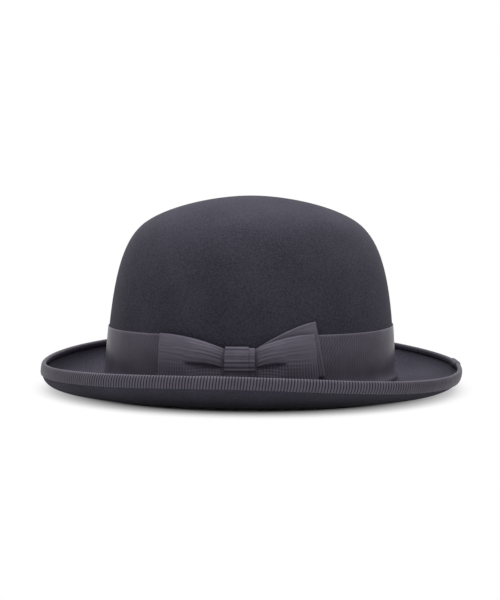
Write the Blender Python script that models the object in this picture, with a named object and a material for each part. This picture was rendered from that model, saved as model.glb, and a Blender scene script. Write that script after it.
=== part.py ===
"""A bowler hat: a stiff felt body with its ribbon, bow, bound brim, sweatband and lining.

The hat stands on its brim. +Z is up, the front of the hat points to -X and the bow is on the
wearer's left, at -Y. The origin is on the floor under the middle of the brim. Sizes are in
metres and angles in degrees, unless a name says otherwise.

Every sewn layer follows one surface, the middle of the felt. felt_point gives that surface from
an angle round the hat and a station that runs from the top of the crown to the brim's edge.
"""

import math
from dataclasses import dataclass
from typing import Callable

import bpy
from mathutils import Vector

MM = 0.001

# Shared by all pieces.
AROUND = 48                          # facets round the hat, a multiple of four
CLEARANCE = 0.3 * MM                 # air left between two sewn layers
JOINT_GAP = 0.8 * MM                 # air left where a band's two ends meet

# Rows of facets from the top of the crown to the brim's edge.
CROWN_ROWS = 5
WALL_SHARES = (0.88, 0.72, 0.54, 0.36, 0.18)     # of the height from wall's foot to shoulder
BREAK_SHARES = (0.15, 0.3, 0.45, 0.7, 1.0)       # of the curve from wall's foot to flat strip
CURL_STEP = 6.2 * MM                 # between the rows just inside the binding
LOOP_SHARES = (1.0, 0.92, 0.72, 0.46, 0.22, 0.07, 0.0)       # of a loop, from its end
LOOP_ROWS = (0.0, 0.2, 0.38, 0.5, 0.62, 0.8, 1.0)            # of the ribbon's width

# The felt body. Its lengths run along the middle of the felt's thickness.
FELT_THICKNESS = 1.6 * MM
CROWN_HALF_LENGTH = 103.8 * MM       # at the foot of the crown's wall
CROWN_HALF_WIDTH = 86.4 * MM
CROWN_HEIGHT = 137.6 * MM            # above the floor
CROWN_FORWARD = 0.14 * MM            # the crown's middle, in front of the origin
FOOT_FORWARD = 1.1 * MM              # the wall's foot, further forward than the crown
WALL_LEAN = 3.0                      # the wall leans in by this much at its foot
WALL_LEAN_TILT = 1.3                 # extra lean at the front, and less at the back
WALL_HANDLE = 60.0 * MM              # length of the outline curve's handle up the wall
SHOULDER_INSET = 24.6 * MM           # the shoulder's place, in from the foot of the wall
SHOULDER_DROP = 21.6 * MM            # and down from the top
SHOULDER_SLOPE = 47.4                # lean of the outline at the shoulder
SHOULDER_HANDLE = 19.0 * MM
TOP_HANDLE = 28.0 * MM

# The brim: a hollow break below the wall, a flat strip to stand on, and the curled edge.
BREAK_TOP = 17.2 * MM                # height where the wall starts to turn out
BREAK_ARCH = 2.0 * MM                # how much higher that is at the sides
BREAK_TILT = 0.65 * MM               # and at the back, against the front
BREAK_HOLLOW = 0.6                   # share of the break's drop that runs straight down
BREAK_SPREAD = 0.25                  # share of the break's reach before it runs flat
BRIM_LENGTH = 45.9 * MM              # from the wall's foot to the edge, at front and back
BRIM_WIDTH = 42.4 * MM               # the same at the sides
BRIM_BACK = 0.66 * MM                # the middle of the edge's oval, behind the origin
BRIM_SQUARENESS = 2.28               # exponent of the edge's oval: 2 is an ellipse
REST_REACH_ENDS = 18.0 * MM          # from the wall's foot to the flat strip, front and back
REST_REACH_SIDES = 13.5 * MM
REST_WIDTH = 4.0 * MM                # width of the flat strip
SIDE_LIFT = 0.5 * MM                 # height of the brim's underside over the floor at the sides
EDGE_HEIGHT = 16.9 * MM              # height of the edge at front and back
EDGE_SWEEP = 7.5 * MM                # extra height of the edge at the sides
EDGE_TILT = 2.0 * MM                 # extra height of the edge at the front
CURL_FLAT_ENDS = 0.7                 # share of the curl's reach that hugs the floor
CURL_FLAT_SIDES = 0.2
CURL_STEEP_FRONT = 0.84              # share of the curl's height in its last steep stretch
CURL_STEEP_BACK = 0.6
CURL_STEEP_SIDES = 0.3
EDGE_LEAN_FRONT = 14.0               # how far past upright the edge leans in
EDGE_LEAN_BACK = 5.0
EDGE_LEAN_SIDES = 22.0
LEVEL_SHARE = 0.15                   # sine of the angle about front and back kept level
SIDE_POWER = 2.45                    # how late the brim rises towards the sides
SIDE_POWER_TILT = 0.55               # later at the back, and earlier at the front

# Ribbon round the crown.
RIBBON_THICKNESS = 0.5 * MM
HATBAND_WIDTH = 38.0 * MM
HATBAND_TOP = 45.3 * MM              # height of its upper edge
HATBAND_TUCK = 1.0 * MM              # how far it stays below the loops' edge at the knot

# Ribbon folded over the brim's edge.
BINDING_OUTER_LEG = 6.6 * MM
BINDING_INNER_LEG = 2.2 * MM
BINDING_JOINT = 1                    # corner, counted from the back, where it starts
BINDING_LAP = 1                      # facets that its end runs on over its start
THREAD_THICKNESS = 0.4 * MM
BINDING_SEAM_INSET = 1.4 * MM        # from the binding's lower edge to its seam

# The bow on the wearer's left.
BOW_FRONT_REACH = 53.1 * MM          # from the knot's middle to the front loop's end
BOW_BACK_REACH = 48.4 * MM
BOW_BACK_LEAN = 2.6 * MM             # the back loop's end, further out at its lower corner
BOW_PINCH_ABOVE = 8.9 * MM           # how far the knot draws the upper edge down
BOW_PINCH_BELOW = 7.0 * MM
BOW_DEPTH = 5.0 * MM                 # how far the loops swell out
BOW_CREASE = 0.7                     # share of the swelling lost in the crease by the knot
CREASE_ACROSS = 0.46                 # place of the crease, from the ribbon's upper edge
CREASE_WIDTH = 0.09                  # and its width, both as shares of the ribbon's width
LOOP_END_FLAT = 0.6                  # share of the swelling lost at a loop's end
LOOP_EDGE_FLAT = 0.35                # and along the ribbon's two edges
KNOT_HALF_WIDTH = 9.8 * MM
KNOT_OVERLAP = 4.0 * MM              # strip of the knot's under layer left showing
KNOT_SWELL = 1.8 * MM
LOOP_FOLD = 0.7 * MM                 # how far the loops' round ends stand out
TAIL_REACH = 50.4 * MM               # from the knot's middle to the tail's upper corner
TAIL_RISE = 8.2 * MM                 # the tail's upper corner over the loops' edge
TAIL_TILT = 8.4                      # how far the tail turns up
TAIL_ARCH = 1.45                     # how early it rises: 1 is a straight upper edge

# Leather band inside, with the reed in its lower hem.
LEATHER_THICKNESS = 1.0 * MM
SWEATBAND_HEIGHT = 55.0 * MM
SWEATBAND_BOTTOM = 5.0 * MM
SWEATBAND_SEAM_HEIGHT = 8.5 * MM
REED_DIAMETER = 2.2 * MM
REED_TAPE_THICKNESS = 0.3 * MM
REED_TAPE_LEG = 8.5 * MM

# Satin lining.
LINING_THICKNESS = 0.4 * MM
LINING_BOTTOM = 14.0 * MM

# Small bow that marks the back of the sweatband.
SMALL_BOW_RIBBON = 6.0 * MM
SMALL_BOW_REACH = 13.0 * MM
SMALL_BOW_DEPTH = 2.2 * MM
SMALL_BOW_PINCH = 1.0 * MM
SMALL_BOW_HEIGHT = 42.0 * MM            # of its loops' upper edge
SMALL_KNOT_HALF_WIDTH = 2.6 * MM

# Where one layer's middle lies, counted out from the middle of the felt.
FELT_FACE = FELT_THICKNESS / 2
HATBAND_OUT = FELT_FACE + CLEARANCE + RIBBON_THICKNESS / 2
HATBAND_FACE = HATBAND_OUT + RIBBON_THICKNESS / 2
LINING_IN = FELT_FACE + CLEARANCE + LINING_THICKNESS / 2
LINING_FACE = LINING_IN + LINING_THICKNESS / 2
SWEATBAND_IN = LINING_FACE + CLEARANCE + LEATHER_THICKNESS / 2
SWEATBAND_FACE = SWEATBAND_IN + LEATHER_THICKNESS / 2
LAYER_STEP = RIBBON_THICKNESS + CLEARANCE

# Stations of the felt's outline, where one curve hands over to the next.
SHOULDER, WALL_FOOT, REST_START, REST_END, EDGE = 1.0, 2.0, 3.0, 4.0, 5.0

UP = Vector((0.0, 0.0, 1.0))
CROWN_MIDDLE = Vector((-CROWN_FORWARD, 0.0, 0.0))
NUDGE = 1e-4                         # station and angle step used to find directions
CURL_WALK = 0.0125                   # station step used to measure along the curl
HALVINGS = 40                        # used to find a height on the wall


# ---------------------------------------------------------------- the felt's middle surface

def blend(low, high, share):
    return low + (high - low) * share


def bezier(start, handle_a, handle_b, end, share):
    """Point on a cubic curve, given as (distance, height) pairs."""
    rest = 1.0 - share
    weights = (rest ** 3, 3 * rest ** 2 * share, 3 * rest * share ** 2, share ** 3)
    knots = (start, handle_a, handle_b, end)
    return tuple(sum(w * k[axis] for w, k in zip(weights, knots)) for axis in (0, 1))


def side_rise(angle):
    """0 over the level stretches at front and back, 1 at the sides."""
    beyond = max(0.0, abs(math.sin(angle)) - LEVEL_SHARE)
    power = SIDE_POWER + SIDE_POWER_TILT * math.cos(angle)
    return (beyond / (1.0 - LEVEL_SHARE)) ** power


def round_hat(angle, front, back, sides):
    """A value that differs at the front, the back and the sides of the hat."""
    ends = blend(front, back, (1.0 + math.cos(angle)) / 2)
    return blend(ends, sides, math.sin(angle) ** 2)


def wall_foot_height(angle):
    return BREAK_TOP + BREAK_ARCH * side_rise(angle) + BREAK_TILT * math.cos(angle)


def wall_lean(angle):
    return WALL_LEAN - WALL_LEAN_TILT * math.cos(angle)


def wall_foot_share(angle):
    """Reach of the wall's foot, as a share of the crown's half length."""
    return 1.0 - FOOT_FORWARD / CROWN_HALF_LENGTH * math.cos(angle)


def crown_outline(angle, station):
    """Share of the crown's half length, and height, from the top to the wall's foot."""
    lean = math.radians(wall_lean(angle))
    slope = math.radians(SHOULDER_SLOPE)
    foot = (CROWN_HALF_LENGTH * wall_foot_share(angle), wall_foot_height(angle))
    shoulder = (CROWN_HALF_LENGTH - SHOULDER_INSET, CROWN_HEIGHT - SHOULDER_DROP)
    reach = (SHOULDER_HANDLE * math.sin(slope), SHOULDER_HANDLE * math.cos(slope))
    over = (shoulder[0] - reach[0], shoulder[1] + reach[1])
    under = (shoulder[0] + reach[0], shoulder[1] - reach[1])
    if station <= SHOULDER:
        point = bezier((0.0, CROWN_HEIGHT), (TOP_HANDLE, CROWN_HEIGHT), over, shoulder, station)
    else:
        up_wall = (foot[0] - WALL_HANDLE * math.sin(lean), foot[1] + WALL_HANDLE * math.cos(lean))
        point = bezier(shoulder, under, up_wall, foot, station - SHOULDER)
    return point[0] / CROWN_HALF_LENGTH, point[1]


def brim_outline(angle, width, station):
    """Distance out from the wall's foot, and height, along the brim."""
    side = math.sin(angle) ** 2
    foot = (0.0, wall_foot_height(angle))
    level = FELT_FACE + SIDE_LIFT * side_rise(angle)
    reach = blend(REST_REACH_ENDS, REST_REACH_SIDES, side)
    edge = EDGE_HEIGHT + EDGE_SWEEP * side_rise(angle) - EDGE_TILT * math.cos(angle)
    if station <= REST_START:
        drop = BREAK_HOLLOW * (foot[1] - level)
        start_handle = (drop * math.sin(math.radians(wall_lean(angle))), foot[1] - drop)
        end_handle = (BREAK_SPREAD * reach, level)
        return bezier(foot, start_handle, end_handle, (reach, level), station - WALL_FOOT)
    if station <= REST_END:
        return reach + REST_WIDTH * (station - REST_START), level
    start = reach + REST_WIDTH
    start_handle = (start + blend(CURL_FLAT_ENDS, CURL_FLAT_SIDES, side) * (width - start), level)
    steep = round_hat(angle, CURL_STEEP_FRONT, CURL_STEEP_BACK, CURL_STEEP_SIDES) * (edge - level)
    lean = math.radians(round_hat(angle, EDGE_LEAN_FRONT, EDGE_LEAN_BACK, EDGE_LEAN_SIDES))
    end_handle = (width + steep * math.tan(lean), edge - steep)
    return bezier((start, level), start_handle, end_handle, (width, edge), station - REST_END)


def felt_point(angle, station):
    """Point on the middle of the felt. The angle is 0 at the back and grows to the right side."""
    round_oval = Vector((math.cos(angle), math.sin(angle), 0.0))
    reach = Vector((CROWN_HALF_LENGTH * round_oval.x, CROWN_HALF_WIDTH * round_oval.y, 0.0))
    if station <= WALL_FOOT:
        share, height = crown_outline(angle, station)
        return CROWN_MIDDLE + reach * share + UP * height
    power = BRIM_SQUARENESS
    square = (abs(round_oval.x) ** power + abs(round_oval.y) ** power) ** (-1.0 / power)
    edge = Vector((
        (CROWN_HALF_LENGTH + BRIM_LENGTH) * round_oval.x * square + BRIM_BACK,
        (CROWN_HALF_WIDTH + BRIM_WIDTH) * round_oval.y * square,
        0.0,
    ))
    foot = CROWN_MIDDLE + reach * wall_foot_share(angle)
    across = edge - foot
    distance, height = brim_outline(angle, across.length, station)
    return foot + across.normalized() * distance + UP * height


def felt_directions(angle, station):
    """Unit vectors on the felt: square to it, out of the crown, and along it to the edge."""
    low, high = max(0.0, station - NUDGE), min(EDGE, station + NUDGE)
    along = (felt_point(angle, high) - felt_point(angle, low)).normalized()
    around = felt_point(angle + NUDGE, station) - felt_point(angle - NUDGE, station)
    return along.cross(around).normalized(), along


def layer_point(angle, station, out):
    """Point on a layer that lies this far out from the felt's middle (in, if negative)."""
    normal, _ = felt_directions(angle, station)
    return felt_point(angle, station) + normal * out


def wall_station(angle, height):
    """Station of the crown's wall and break at this height, found by halving."""
    low, high = SHOULDER / 2, REST_START
    for _ in range(HALVINGS):
        middle = (low + high) / 2
        if felt_point(angle, middle).z > height:
            low = middle
        else:
            high = middle
    return low


def wall_point(angle, height, out):
    """Point on a layer along the wall at this height."""
    return layer_point(angle, wall_station(angle, height), out)


def hanging_point(angle, height, out):
    """The same for a layer inside, which hangs straight on below the wall's foot."""
    foot = wall_foot_height(angle)
    if height >= foot:
        return wall_point(angle, height, out)
    _, down = felt_directions(angle, WALL_FOOT)
    return layer_point(angle, WALL_FOOT, out) + down * (height - foot) / down.z


def curl_station(angle, back):
    """Station of the curled edge at this distance back from the very edge."""
    station, here, walked = EDGE, felt_point(angle, EDGE), 0.0
    while walked < back and station > REST_END:
        station -= CURL_WALK
        there = felt_point(angle, station)
        walked += (there - here).length
        here = there
    return station


# ---------------------------------------------------------------- making solids

def stations_round(start=0, gap=0.0):
    """Angles of the facets' corners. A gap opens the ring before its starting corner."""
    angles = [2 * math.pi * (start + index) / AROUND for index in range(AROUND)]
    if gap:
        radius = (CROWN_HALF_LENGTH + CROWN_HALF_WIDTH) / 2
        angles.append(angles[0] + 2 * math.pi - gap / radius)
    return angles


def spread(low, high, count):
    """count + 1 even values from low to high."""
    return [blend(low, high, index / count) for index in range(count + 1)]


def material(name, colour, roughness):
    made = bpy.data.materials.new(name)
    made.use_nodes = True
    made.diffuse_color = (*colour, 1.0)
    shader = made.node_tree.nodes["Principled BSDF"]
    shader.inputs["Base Color"].default_value = (*colour, 1.0)
    shader.inputs["Roughness"].default_value = roughness
    shader.inputs["Metallic"].default_value = 0.0
    return made


def add_object(name, points, faces, look):
    mesh = bpy.data.meshes.new(name)
    mesh.from_pydata([tuple(point) for point in points], [], faces)
    mesh.shade_smooth()
    mesh.set_sharp_from_angle(angle=math.radians(40))
    mesh.materials.append(look)
    made = bpy.data.objects.new(name, mesh)
    bpy.context.collection.objects.link(made)
    return made


def sheet(name, grid, thickness, look, ring=False, side=0.0, centre=None):
    """A sheet through a grid of points, one list for each step round, thickened by Solidify.

    ring joins the last list to the first. side is where the thickness goes: 0 is both ways and
    1 is out from the grid. centre is one point that closes the sheet where the lists start.
    """
    rows = len(grid[0])
    points = [point for line in grid for point in line]
    faces = []
    for step in range(len(grid) if ring else len(grid) - 1):
        here = step * rows
        there = (step + 1) % len(grid) * rows
        for row in range(rows - 1):
            faces.append((here + row, here + row + 1, there + row + 1, there + row))
        if centre is not None:
            faces.append((len(points), here, there))
    if centre is not None:
        points.append(centre)
    made = add_object(name, points, faces, look)
    solid = made.modifiers.new("Thickness", "SOLIDIFY")
    solid.thickness = thickness
    solid.offset = side
    solid.use_even_offset = True
    return made


def cord_ring(name, points, diameter, look, sides=4):
    """A closed round cord through a ring of points."""
    curve = bpy.data.curves.new(name, "CURVE")
    curve.dimensions = "3D"
    curve.bevel_depth = diameter / 2
    curve.bevel_resolution = max(0, (sides - 4) // 2)
    line = curve.splines.new("POLY")
    line.points.add(len(points) - 1)
    for corner, point in zip(line.points, points):
        corner.co = (*point, 1.0)
    line.use_cyclic_u = True
    curve.materials.append(look)
    made = bpy.data.objects.new(name, curve)
    bpy.context.collection.objects.link(made)
    return made


# ---------------------------------------------------------------- the felt, its ribbon and edge

def crown_stations():
    """Stations of the crown's rows, from next to the top down to the shoulder."""
    return spread(0.0, SHOULDER, CROWN_ROWS)[1:]


def wall_stations(angle):
    """Stations of the wall's rows below the shoulder, down to its foot."""
    high, low = felt_point(angle, SHOULDER).z, wall_foot_height(angle)
    return [wall_station(angle, blend(low, high, share)) for share in WALL_SHARES] + [WALL_FOOT]


def brim_stations(angle):
    """Stations of the brim's rows. Those under the binding are the binding's own."""
    hollow = [WALL_FOOT + share for share in BREAK_SHARES]
    backs = (BINDING_OUTER_LEG + 2 * CURL_STEP, BINDING_OUTER_LEG + CURL_STEP)
    curl = [curl_station(angle, back) for back in backs]
    return hollow + [REST_END] + curl + bound_stations(angle, BINDING_OUTER_LEG, 3)


def bound_stations(angle, leg, count):
    """Stations of the rows below one leg of the binding, up to the edge."""
    return [curl_station(angle, back) for back in spread(leg, 0.0, count)]


def make_felt(look):
    grid = []
    for angle in stations_round():
        stations = crown_stations() + wall_stations(angle) + brim_stations(angle)
        grid.append([layer_point(angle, station, -FELT_FACE) for station in stations])
    crown_top = CROWN_MIDDLE + UP * (CROWN_HEIGHT - FELT_FACE)
    sheet("felt_body", grid, FELT_THICKNESS, look, ring=True, side=1.0, centre=crown_top)


def hatband_top(angle):
    return HATBAND_TOP + BREAK_ARCH * side_rise(angle) + BREAK_TILT * math.cos(angle)


def drawn_top(angle, bow):
    """The same, drawn down behind the bow's loops."""
    x = CROWN_HALF_LENGTH * math.cos(angle)
    share = bow.reach_share(x)
    if math.sin(angle) > 0 or share == 1.0:
        return hatband_top(angle)
    loops = bow.edge_heights(x)[0] + BREAK_TILT * math.cos(angle)
    return min(hatband_top(angle), loops - HATBAND_TUCK * (1.0 - share))


def make_hatband(look, bow):
    grid = []
    for angle in stations_round(start=3 * AROUND // 4, gap=JOINT_GAP):
        foot, bottom = wall_foot_height(angle), hatband_top(angle) - HATBAND_WIDTH
        heights = spread(drawn_top(angle, bow), foot, 3) + spread(foot, bottom, 2)[1:]
        grid.append([wall_point(angle, height, HATBAND_OUT) for height in heights])
    sheet("hatband", grid, RIBBON_THICKNESS, look)


def edge_section(angle, out):
    """Points of a strip folded over the felt's edge, from its inner leg to its outer one."""
    inner = bound_stations(angle, BINDING_INNER_LEG, 1)
    outer = reversed(bound_stations(angle, BINDING_OUTER_LEG, 3))
    points = [layer_point(angle, station, out) for station in inner]
    normal, along = felt_directions(angle, EDGE)
    for turn in (45, 90, 135):
        swing = math.radians(turn)
        fold = normal * math.cos(swing) + along * math.sin(swing)
        points.append(felt_point(angle, EDGE) + fold * out)
    return points + [layer_point(angle, station, -out) for station in outer]


def make_binding(look, thread):
    """The binding, whose end laps over its start, and the seam along its lower edge."""
    grid, seam = [], []
    for step in range(AROUND + BINDING_LAP + 1):
        lift = LAYER_STEP if step >= AROUND else 0.0
        angle = 2 * math.pi * (BINDING_JOINT + step) / AROUND
        grid.append(edge_section(angle, HATBAND_OUT + lift))
        if step > BINDING_LAP:
            station = curl_station(angle, BINDING_OUTER_LEG - BINDING_SEAM_INSET)
            out = HATBAND_FACE + lift + CLEARANCE + THREAD_THICKNESS / 2
            seam.append(layer_point(angle, station, -out))
    sheet("brim_binding", grid, RIBBON_THICKNESS, look)
    cord_ring("binding_stitching", seam, THREAD_THICKNESS, thread)


# ---------------------------------------------------------------- bows

@dataclass
class Bow:
    """A flat bow: place(x, height, out) puts its points on the hat."""

    place: Callable
    left: float              # reach of the loop on the -x side of its place
    right: float
    right_lean: float        # how far that loop's end leans out from its top to its bottom
    top: float               # height of the loops' upper edge at their ends
    width: float             # of the ribbon
    pinch_above: float
    pinch_below: float
    depth: float
    crease: float
    knot_half_width: float
    knot_swell: float
    knot_layers: int
    base: float              # how far out the surface lies that carries the bow

    @property
    def back_layer(self):
        """Where the loops' back layer lies: in front of the knot's layers."""
        return self.base + LAYER_STEP * self.knot_layers + CLEARANCE + RIBBON_THICKNESS / 2

    def reach_share(self, x):
        """0 at the knot's side and 1 at the loop's end."""
        start = self.knot_half_width + 2 * CLEARANCE
        reach = self.right if x > 0 else self.left
        return min(1.0, max(0.0, (abs(x) - start) / (reach - start)))

    def lean(self, x, across):
        return self.right_lean * (across - 0.5) * self.reach_share(x) if x > 0 else 0.0

    def edge_heights(self, x):
        near = (1.0 - self.reach_share(x)) ** 2
        high = self.top - self.pinch_above * near
        low = self.top - self.width + self.pinch_below * near
        return high, low

    def front_depth(self, x, across):
        """How far the front layer stands off the back one. across is 0 at the upper edge."""
        share = self.reach_share(x)
        near = 1.0 - share
        swell = (1.0 - near ** 3) * (1.0 - LOOP_END_FLAT * share ** 3)
        valley = math.exp(-((across - CREASE_ACROSS) / CREASE_WIDTH) ** 2) * self.crease * near
        rounding = 1.0 - LOOP_EDGE_FLAT * abs(2 * across - 1) ** 4
        return LAYER_STEP + self.depth * swell * rounding * (1.0 - valley)


def bow_loops(name, bow, look):
    """Both loops as one flattened ring of ribbon, drawn in at the knot."""
    start = bow.knot_half_width + 2 * CLEARANCE
    left = [-start - (bow.left - start) * share for share in LOOP_SHARES]
    right = [start + (bow.right - start) * share for share in reversed(LOOP_SHARES)]
    front = left + [0.0] + right
    path = [(x, 1.0) for x in front] + [(bow.right + LOOP_FOLD, 0.5)]
    path += [(x, 0.0) for x in reversed(front)] + [(-bow.left - LOOP_FOLD, 0.5)]
    grid = []
    for x, depth_share in path:
        high, low = bow.edge_heights(x)
        line = []
        for row in LOOP_ROWS:
            out = bow.back_layer + bow.front_depth(x, row) * depth_share
            line.append(bow.place(x + bow.lean(x, row), blend(high, low, row), out))
        grid.append(line)
    sheet(name, grid, RIBBON_THICKNESS, look, ring=True)


def knot_path(bow, out):
    """Heights and distances out round the drawn-in loops, this far off them."""
    high, low = bow.edge_heights(0.0)
    back = bow.back_layer - RIBBON_THICKNESS / 2
    front = bow.back_layer + LAYER_STEP + RIBBON_THICKNESS / 2
    slant = out * math.sqrt(0.5)
    middle, half = (high + low) / 2, (high - low) / 2
    path = []
    for share in spread(-1.0, 1.0, 4):
        swell = bow.knot_swell * (1.0 - share ** 2)
        path.append((middle + half * share, front + out + swell))
    path += [(high + slant, front + slant), (high + out, front), (high + out, back)]
    path += [(high + slant, back - slant), (high, back - out), (middle, back - out)]
    path += [(low, back - out), (low - slant, back - slant)]
    path += [(low - out, back), (low - out, front), (low - slant, front + slant)]
    return path


def bow_knot(name, bow, look):
    """A ribbon round the loops' middle. Its second layer is folded over at the -x edge."""
    half = bow.knot_half_width
    section = [(half, 0.0), (0.0, 0.0)]
    if bow.knot_layers > 1:
        fold = RIBBON_THICKNESS / 2 - half
        section += [(fold + LAYER_STEP / 2, 0.0), (fold, 0.5), (fold + LAYER_STEP / 2, 1.0)]
        section += [(0.0, 1.0), (half - KNOT_OVERLAP, 1.0)]
    else:
        section += [(-half, 0.0)]
    first = CLEARANCE + RIBBON_THICKNESS / 2
    paths = [knot_path(bow, first + LAYER_STEP * layer) for _, layer in section]
    grid = []
    for step in range(len(paths[0])):
        grid.append([bow.place(x, *path[step]) for (x, _), path in zip(section, paths)])
    sheet(name, grid, RIBBON_THICKNESS, look, ring=True)


def bow_tail(name, bow, look):
    """The ribbon's free end, fanned out behind the loop on the +x side."""
    tilt = math.radians(TAIL_TILT)
    start = bow.knot_half_width + 2 * CLEARANCE
    high, low = bow.edge_heights(start)
    upper = (TAIL_REACH, bow.top + TAIL_RISE)
    lower = (upper[0] + bow.width * math.sin(tilt), upper[1] - bow.width * math.cos(tilt))
    out = bow.base + CLEARANCE + RIBBON_THICKNESS / 2
    grid = []
    for share in spread(0.0, 1.0, 5):
        rise = 1.0 - (1.0 - share) ** TAIL_ARCH
        line = []
        for row in spread(0.0, 1.0, 3):
            x = blend(start, blend(upper[0], lower[0], row), share)
            height = blend(blend(high, low, row), blend(upper[1], lower[1], row), rise)
            line.append(bow.place(x, height, out))
        grid.append(line)
    sheet(name, grid, RIBBON_THICKNESS, look)


def on_left_side(x, height, out):
    """Place on the hatband's left side, this far behind the crown's middle."""
    cosine = x / CROWN_HALF_LENGTH
    return wall_point(-math.acos(cosine), height + BREAK_TILT * cosine, out)


def inside_back(x, height, out):
    """Place on the sweatband at the back, with x across the hat and out into the crown."""
    angle = math.asin(x / CROWN_HALF_WIDTH)
    return wall_point(angle, height, -out)


def side_bow():
    return Bow(
        place=on_left_side,
        left=BOW_FRONT_REACH,
        right=BOW_BACK_REACH,
        right_lean=BOW_BACK_LEAN,
        top=HATBAND_TOP + BREAK_ARCH,
        width=HATBAND_WIDTH,
        pinch_above=BOW_PINCH_ABOVE,
        pinch_below=BOW_PINCH_BELOW,
        depth=BOW_DEPTH,
        crease=BOW_CREASE,
        knot_half_width=KNOT_HALF_WIDTH,
        knot_swell=KNOT_SWELL,
        knot_layers=2,
        base=HATBAND_FACE,
    )


def make_bow(look, bow):
    bow_loops("bow_loops", bow, look)
    bow_knot("bow_knot", bow, look)
    bow_tail("bow_tail", bow, look)


def make_small_bow(look):
    bow = Bow(
        place=inside_back,
        left=SMALL_BOW_REACH,
        right=SMALL_BOW_REACH,
        right_lean=0.0,
        top=SMALL_BOW_HEIGHT,
        width=SMALL_BOW_RIBBON,
        pinch_above=SMALL_BOW_PINCH,
        pinch_below=SMALL_BOW_PINCH,
        depth=SMALL_BOW_DEPTH,
        crease=0.0,
        knot_half_width=SMALL_KNOT_HALF_WIDTH,
        knot_swell=0.0,
        knot_layers=1,
        base=SWEATBAND_FACE,
    )
    bow_loops("sweatband_bow", bow, look)
    bow_knot("sweatband_bow_knot", bow, look)


# ---------------------------------------------------------------- inside the crown

def make_sweatband(leather, thread):
    grid = []
    for angle in stations_round(gap=JOINT_GAP):
        heights = spread(SWEATBAND_BOTTOM + SWEATBAND_HEIGHT, SWEATBAND_BOTTOM, 4)
        grid.append([hanging_point(angle, height, -SWEATBAND_IN) for height in heights])
    sheet("sweatband", grid, LEATHER_THICKNESS, leather)
    inward = SWEATBAND_FACE + CLEARANCE + THREAD_THICKNESS / 2
    seam = [hanging_point(angle, SWEATBAND_SEAM_HEIGHT, -inward) for angle in stations_round()]
    cord_ring("sweatband_stitching", seam, THREAD_THICKNESS, thread)


def make_reed(cane, tape):
    """The reed below the leather's edge, in a tape that runs up behind the leather."""
    tape_in = SWEATBAND_IN - LEATHER_THICKNESS / 2 - CLEARANCE - REED_TAPE_THICKNESS / 2
    fold = REED_DIAMETER / 2 + CLEARANCE + REED_TAPE_THICKNESS / 2
    centre = SWEATBAND_BOTTOM - CLEARANCE - REED_DIAMETER / 2
    grid = []
    for angle in stations_round():
        line = [hanging_point(angle, centre + REED_TAPE_LEG, -tape_in)]
        for turn in (180, 240, 300, 360):
            swing = math.radians(turn)
            inward = tape_in + fold * (1.0 + math.cos(swing))
            line.append(hanging_point(angle, centre + fold * math.sin(swing), -inward))
        grid.append(line)
    sheet("reed_tape", grid, REED_TAPE_THICKNESS, tape, ring=True)
    reed = [hanging_point(angle, centre, -tape_in - fold) for angle in stations_round()]
    cord_ring("sweatband_reed", reed, REED_DIAMETER, cane, sides=6)


def make_lining(satin, thread):
    tip, side, seam = [], [], []
    for angle in stations_round():
        tip.append([layer_point(angle, station, -LINING_IN) for station in crown_stations()])
        _, down = felt_directions(angle, SHOULDER)
        first = layer_point(angle, SHOULDER, -LINING_IN) + down * JOINT_GAP
        wall = [layer_point(angle, station, -LINING_IN) for station in wall_stations(angle)]
        side.append([first] + wall + [hanging_point(angle, LINING_BOTTOM, -LINING_IN)])
        inward = LINING_FACE + CLEARANCE + THREAD_THICKNESS / 2
        seam.append(layer_point(angle, SHOULDER, -inward) + down * JOINT_GAP / 2)
    crown_top = CROWN_MIDDLE + UP * (CROWN_HEIGHT - LINING_IN)
    sheet("lining_tip", tip, LINING_THICKNESS, satin, ring=True, centre=crown_top)
    sheet("lining_side", side, LINING_THICKNESS, satin, ring=True)
    cord_ring("lining_seam", seam, THREAD_THICKNESS, thread)


# ---------------------------------------------------------------- the hat

for old in list(bpy.data.objects):
    bpy.data.objects.remove(old, do_unlink=True)

felt = material("felt", (0.046, 0.042, 0.056), 0.95)
grosgrain = material("grosgrain", (0.062, 0.055, 0.076), 0.6)
thread_look = material("thread", (0.05, 0.045, 0.06), 0.7)
leather_look = material("leather", (0.10, 0.055, 0.03), 0.5)
tape_look = material("reed tape", (0.05, 0.045, 0.06), 0.8)
cane_look = material("reed", (0.55, 0.5, 0.42), 0.6)
satin_look = material("satin", (0.09, 0.08, 0.11), 0.35)

make_felt(felt)
make_hatband(grosgrain, side_bow())
make_binding(grosgrain, thread_look)
make_bow(grosgrain, side_bow())
make_sweatband(leather_look, thread_look)
make_reed(cane_look, tape_look)
make_small_bow(grosgrain)
make_lining(satin_look, thread_look)
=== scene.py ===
"""A bowler hat of stiff dark felt, standing on its brim in a white studio.

+Z is up, the front of the hat points to -X and its bow is on the wearer's left, at -Y. Lengths
are in metres and angles in degrees, unless a name says otherwise.
"""

import dataclasses
import math

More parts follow.
